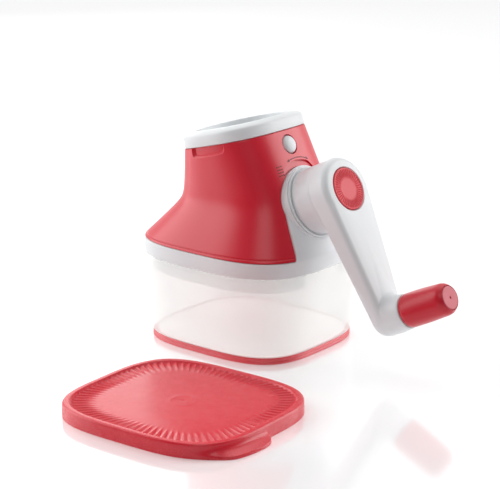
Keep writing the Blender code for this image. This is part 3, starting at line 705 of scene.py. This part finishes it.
# ---- feeder ---------------------------------------------------------------------------------
def feeder_skin(name, corners, count=176, looped=False):
    """Rings in the feeder's own frame from (half x, half y, height, power, softness)."""
    path = [(half_x, height, *rest) for half_x, _, height, _, *rest in corners]
    side = [(half_y, height, *rest) for _, half_y, height, _, *rest in corners]
    bend = [(power, height, *rest) for _, _, height, power, *rest in corners]
    rings = []
    for (half_x, height), (half_y, _), (power, _) in zip(
            soften(path, looped), soften(side, looped), soften(bend, looped)):
        x, y = plan(max(half_x, TINY), max(half_y, TINY), power, count)
        rings.append(points_in(FEEDER, np.column_stack([x, y, np.full(count, height)])))
    return skin(name, rings, looped)


def pusher_body():
    """Hollow feeder: a thick oval rim over a funnel that ends at the foot."""
    rim, hole, foot = 2.8, 2.5, 4.0
    corners = [
        (0.0, 0.0, -0.0360, foot), (0.0222, 0.0182, -0.0360, foot),
        (0.0224, 0.0190, -0.0225, foot), (0.0246, 0.0307, -0.0084, rim),
        (0.0296, 0.0350, -0.0030, rim), (0.0298, 0.0352, 0.0003, rim),
        (0.0317, 0.0371, 0.0003, rim), (0.0321, 0.0375, 0.0068, rim),
        (0.0343, 0.0400, 0.0068, rim), (0.0343, 0.0400, 0.0003, rim),
        (0.0361, 0.0420, 0.0003, rim), (0.0365, 0.0424, 0.0006, rim),
        (0.0366, 0.0425, 0.0011, rim), (0.0365, 0.0424, 0.0040, rim),
        (0.0363, 0.0422, 0.0074, rim), (0.0361, 0.0419, 0.0080, rim),
        (0.0357, 0.0415, 0.0085, rim), (0.0351, 0.0408, 0.0089, rim),
        (0.0340, 0.0396, 0.0095, 2.75), (0.0329, 0.0382, 0.0101, 2.7),
        (0.0318, 0.0368, 0.0106, 2.6), (0.0308, 0.0356, 0.0109, hole),
        (0.0302, 0.0349, 0.0109, hole), (0.0297, 0.0343, 0.0106, hole),
        (0.0294, 0.0340, 0.0099, hole), (0.0291, 0.0337, 0.0060, hole),
        (0.0288, 0.0334, 0.0020, rim), (0.0284, 0.0330, 0.0004, rim),
        (0.0281, 0.0328, -0.0024, rim), (0.0272, 0.0321, -0.0040, rim),
        (0.0230, 0.0290, -0.0078, rim), (0.0220, 0.0264, -0.0100, 3.1),
        (0.0208, 0.0174, -0.0220, foot), (0.0206, 0.0166, -0.0342, foot),
        (0.0, 0.0, -0.0342, foot),
    ]
    body = feeder_skin("feeder_cup", corners)
    smooth(body)
    stand_for(body, "pusher", "satin_white", WHITE, "pusher_body")


# ---- crank ----------------------------------------------------------------------------------
def bearing_collar():
    """Sleeve in the bore, with a flange round the hub."""
    collar = spun("hub_collar", CRANK, [
        (0.0206, 0.0520, 0.0003), (0.0237, 0.0520, 0.0003), (0.0237, 0.0620, 0.0002),
        (0.0256, 0.0620, 0.0002), (0.0256, 0.0628, 0.0005), (0.0249, 0.0633, 0.0005),
        (0.0240, 0.0625, 0.0005), (0.0206, 0.0625, 0.0003)], looped=True)
    smooth(collar)
    stand_for(collar, "collar", "satin_white", WHITE, "bearing_collar")


def crank_hub():
    """Barrel between collar and arm, flaring where it meets the arm."""
    hub = spun("crank_barrel", CRANK, [
        (0.0, 0.0506), (0.0201, 0.0506, 0.0004), (0.0201, 0.0629, 0.0002),
        (0.0233, 0.0629, 0.0004), (0.0233, ARM_BACK - 0.0020, 0.0016),
        (ARM_HEAD - 0.0006, ARM_BACK - 0.0001), (0.0, ARM_BACK - 0.0001)])
    combine(hub, rod("socket", CRANK, 0.0056, 0.0450, 0.0850, 6))
    smooth(hub)
    stand_for(hub, "crank", "satin_white", WHITE, "crank_hub")


def arm_outline(big, small, count=88):
    """Two circles joined by their tangents, the small one an arm's length below."""
    lean = math.asin((big - small) / ARM_LENGTH)
    head = np.linspace(-lean, math.pi + lean, count // 2)
    end = np.linspace(math.pi + lean, 2 * math.pi - lean, count // 4)
    side = np.linspace(0, 1, count // 8 + 2)[1:-1, None]
    top = np.column_stack([big * np.cos(head), big * np.sin(head)])
    foot = np.column_stack([small * np.cos(end), small * np.sin(end) - ARM_LENGTH])
    left = top[-1] + (foot[0] - top[-1]) * side
    right = foot[-1] + (top[0] - foot[-1]) * side
    return np.vstack([top, left, foot, right])


def crank_arm():
    """Tapered arm with a rounded back edge, the knob's stub and the seats for cap and screw."""
    back_round, elbow_round, front_round, crown = 0.0007, 0.0085, 0.0046, 0.0006
    rings = []

    def ring(cut_head, cut_end, level, slope=0.0):
        outline = arm_outline(ARM_HEAD - cut_head, ARM_END - cut_end)
        down = np.clip(-outline[:, 1] / ARM_LENGTH, 0, 1)
        rings.append(points_in(CRANK, np.column_stack([outline, level + slope * down])))

    start = np.tile([[0.0, -0.030, ARM_BACK]], (len(arm_outline(0.02, 0.01)), 1))
    rings.append(points_in(CRANK, start))
    for angle in np.linspace(0, math.pi / 2, 8):
        rest, sunk = 1 - math.sin(angle), 1 - math.cos(angle)
        ring(back_round * rest, elbow_round * rest, ARM_BACK + back_round * sunk,
             (elbow_round - back_round) * sunk)
    for angle in np.linspace(0, math.pi / 2, 9):
        ring(front_round * (1 - math.cos(angle)), front_round * (1 - math.cos(angle)),
             ARM_FRONT - front_round * (1 - math.sin(angle)))
    ring(0.0075, 0.0070, ARM_FRONT + 0.6 * crown)
    ring(0.0110, 0.0090, ARM_FRONT + crown)
    end = np.tile([[0.0, -0.030, ARM_FRONT + crown]], (len(start), 1))
    rings.append(points_in(CRANK, end))
    arm = skin("white_arm", rings)

    stub = []
    turn = np.linspace(0, 2 * math.pi, 96, endpoint=False)
    levels = [(0.0880, 0.0130, 0.0), (0.0930, 0.0130, 0.0060), (0.0943, 0.0130, 0.0048),
              (0.0955, 0.0130, 0.0032), (0.0970, 0.0130, 0.0018), (0.0988, 0.0129, 0.0007),
              (0.1010, 0.0128, 0.0), (0.1050, 0.0124, 0.0), (0.1060, 0.0122, 0.0),
              (0.1064, 0.0118, 0.0)]
    for level, radius, flare in levels:
        reach = radius + flare * np.clip(np.sin(turn), 0, 1) ** 2
        stub.append(points_in(KNOB, np.column_stack([
            reach * np.cos(turn), reach * np.sin(turn), np.full(len(turn), level)])))
    first = points_in(KNOB, np.tile([[0, 0, 0.0880]], (len(turn), 1)))
    last = points_in(KNOB, np.tile([[0, 0, 0.1064]], (len(turn), 1)))
    combine(arm, skin("stub", [first] + stub + [last]), "UNION")

    cap_seat = spun("cap_seat", CRANK, [
        (0.0, 0.0918), (0.0153, 0.0918, 0.0004), (0.0153, 0.0939), (0.0158, 0.0946),
        (0.0175, 0.0965), (0.0, 0.0965)])
    combine(arm, cap_seat)
    combine(arm, rod("screw_pocket", CRANK, 0.0085, 0.0870, 0.0930))
    combine(arm, rod("screw_hole", CRANK, 0.0032, 0.0700, 0.0900, 32))
    combine(arm, rod("shaft_socket", CRANK, 0.0056, 0.0700, 0.0846, 32))
    combine(arm, rod("pin_hole", KNOB, 0.0043, 0.0885, 0.1200, 32))
    smooth(arm, 40)
    stand_for(arm, "crank", "satin_white", WHITE, "crank_arm")


def crank_cap():
    """A disc with a thin rim, a ring of radial flutes and a flat middle."""
    flutes, per_flute = 44, 8
    count = flutes * per_flute
    turn = np.linspace(0, 2 * math.pi, count, endpoint=False)
    wave = np.abs(np.sin(np.arange(count) * math.pi / per_flute))
    corners = [
        (0.0, 0.0921), (0.0148, 0.0921, 0.0003), (0.0149, 0.0946, 0.0006),
        (0.0144, 0.0951, 0.0004), (0.0139, 0.0949, 0.0003), (0.0136, 0.0946), (0.0130, 0.0946),
        (0.0124, 0.0946),
    ]
    corners += [(radius, CAP_FLAT) for radius in (
        0.0118, 0.0112, 0.0106, 0.0101, 0.0096, 0.0088, 0.0080, 0.0072, 0.0066, 0.0)]
    rings = []
    for radius, level in soften(corners):
        top = level > 0.0935 and radius < 0.0138
        border = float(rise(radius, 0.0066, 0.0100) * (1 - rise(radius, 0.0134, 0.0138)))
        lift = 0.0006 * border * (wave - 0.5) * float(top)
        rings.append(points_in(CRANK, np.column_stack([
            max(radius, TINY) * np.cos(turn), max(radius, TINY) * np.sin(turn), level + lift])))
    cap = skin("fluted_cap", rings)
    smooth(cap, 50)
    stand_for(cap, "crank", "satin_red", CAP_RED_WITH_PAINTED_SHEEN, "crank_cap")


def knob():
    """Turning grip and the flat disc in its end."""
    grip = spun("turning_knob", KNOB, [
        (0.0044, KNOB_START, 0.0002), (0.0112, KNOB_START, 0.0008), (0.0119, 0.1090, 0.0010),
        (0.0119, 0.1220, 0.0060), (0.0111, 0.1400, 0.0034), (0.0086, 0.1431, 0.0010),
        (0.0084, 0.1428, 0.0002), (0.0084, 0.1398, 0.0002), (0.0044, 0.1398, 0.0002)],
        looped=True)
    smooth(grip, 40)
    stand_for(grip, "knob", "satin_red", KNOB_RED, "knob_grip")
    face = spun("knob_face", KNOB, [
        (0.0, 0.1402), (0.0081, 0.1402, 0.0003), (0.0081, 0.1430, 0.0003),
        (0.0076, KNOB_END, 0.0004), (0.0010, KNOB_END, 0.0001), (0.0008, 0.1426, 0.0001),
        (0.0, 0.1425)])
    smooth(face, 40)
    stand_for(face, "knob", "satin_red", KNOB_FACE_RED, "knob_end_cap")


def hidden_parts():
    """The inner nodes keep their shapes and take finished materials."""
    # feed_chute, pusher_foot and drum_cradle take the darker white, which is painted shade inside the
    # housing.
    finishes = {
        "feed_chute": WHITE_PAINTED_SHADE_INSIDE, "pusher_foot": WHITE_PAINTED_SHADE_INSIDE, "drum_cradle": WHITE_PAINTED_SHADE_INSIDE,
        "crank_back_plate": WHITE, "drum_drive_disc": SATIN_RED, "drum_rim_ring": SATIN_RED,
        "drum_blade": STEEL, "drive_shaft": STEEL, "crank_screw": STEEL, "crank_washer": STEEL,
        "knob_pin": STEEL, "button_spring": STEEL,
    }
    for name, made in finishes.items():
        node = frame["nodes"][name]
        node.data.materials.clear()
        node.data.materials.append(made)


# ---- floor, light and camera ----------------------------------------------------------------
SOFTBOXES = (
    ("left_softbox", (-1.08, -0.58, 0.60), (1.30, 1.2), 2.2),
    ("right_softbox", (0.74, 0.95, 0.48), (0.9, 0.9), 2.9),
    ("top_softbox", (-0.20, 0.45, 1.45), (1.4, 1.2), 0.8),
    ("front_softbox", (0.55, -0.75, 1.25), (0.8, 0.8), 1.4),
    ("back_softbox", (-1.10, 0.85, 0.42), (0.55, 0.5), 1.4),
)


def studio():
    """A pale gloss floor, the white room and its lamps."""
    clear_selection()
    bpy.ops.mesh.primitive_plane_add(size=12)
    floor = bpy.context.object
    floor.name = "floor"
    pale = bpy.data.materials.new("pale gloss floor")
    pale.use_nodes = True
    shader = pale.node_tree.nodes["Principled BSDF"]
    shader.inputs["Base Color"].default_value = (0.95, 0.95, 0.957, 1)
    shader.inputs["Metallic"].default_value = 0.26
    shader.inputs["Roughness"].default_value = 0.11
    shader.inputs["Emission Color"].default_value = (1, 1, 1, 1)
    shader.inputs["Emission Strength"].default_value = 0.16
    floor.data.materials.append(pale)

    room()
    for name, spot, size, radiance in SOFTBOXES:
        softbox(name, spot, size, radiance)


def room():
    """A white room, brighter behind the mill than in front of it; white wherever it is seen."""
    sky = bpy.data.worlds.new("white room")
    bpy.context.scene.world = sky
    sky.use_nodes = True
    nodes, links = sky.node_tree.nodes, sky.node_tree.links
    where = nodes.new("ShaderNodeTexCoord")
    facing = nodes.new("ShaderNodeVectorMath")
    facing.operation = "DOT_PRODUCT"
    facing.inputs[1].default_value = (-0.63, 0.78, 0.10)
    links.new(where.outputs["Generated"], facing.inputs[0])
    depth = nodes.new("ShaderNodeMapRange")
    depth.interpolation_type = "SMOOTHSTEP"
    depth.inputs["From Min"].default_value = -0.3
    depth.inputs["From Max"].default_value = 0.7
    depth.inputs["To Min"].default_value = 0.14
    depth.inputs["To Max"].default_value = 0.92
    links.new(facing.outputs["Value"], depth.inputs["Value"])
    seen = nodes.new("ShaderNodeLightPath")
    bright = nodes.new("ShaderNodeMath")
    bright.operation = "MAXIMUM"
    links.new(depth.outputs["Result"], bright.inputs[0])
    links.new(seen.outputs["Is Camera Ray"], bright.inputs[1])
    background = nodes["Background"]
    background.inputs["Color"].default_value = (1, 1, 1, 1)
    links.new(bright.outputs[0], background.inputs["Strength"])


def softbox(name, spot, size, radiance):
    """A square lamp aimed at the mill; its power follows from its size and brightness."""
    lamp = bpy.data.lights.new(name, "AREA")
    lamp.shape = "RECTANGLE"
    lamp.size, lamp.size_y = size
    lamp.energy = radiance * math.pi * size[0] * size[1]
    holder = bpy.data.objects.new(name, lamp)
    bpy.context.scene.collection.objects.link(holder)
    holder.location = spot
    aim = Vector((0, 0, 0.08)) - Vector(spot)
    holder.rotation_euler = aim.to_track_quat("-Z", "Y").to_euler()


def camera():
    """The camera, aimed from the front right and a little above."""
    azimuth, elevation, distance = math.radians(38.8), math.radians(16.4), 1.313
    right = Vector((math.cos(azimuth), math.sin(azimuth), 0))
    back = Vector((
        math.sin(azimuth) * math.cos(elevation), -math.cos(azimuth) * math.cos(elevation),
        math.sin(elevation)))
    target = right * -0.00106 + Vector((0, 0, 0.0663))
    data = bpy.data.cameras.new("view")
    data.sensor_width = 36.0
    data.lens = 131.7
    data.clip_start = 0.05
    data.clip_end = 30.0
    eye = bpy.data.objects.new("view", data)
    bpy.context.scene.collection.objects.link(eye)
    eye.matrix_world = place(target + back * distance, right, back.cross(right), back)
    bpy.context.scene.camera = eye


camera()
storage_bowl()
base_grip_ring()
storage_lid()
red_shell = housing_shell()
turn_marks(red_shell)
inner_frame()
release_button()
pusher_body()
bearing_collar()
crank_hub()
crank_arm()
crank_cap()
knob()
hidden_parts()
studio()
bpy.context.scene.view_settings.view_transform = "Standard"
clear_selection()
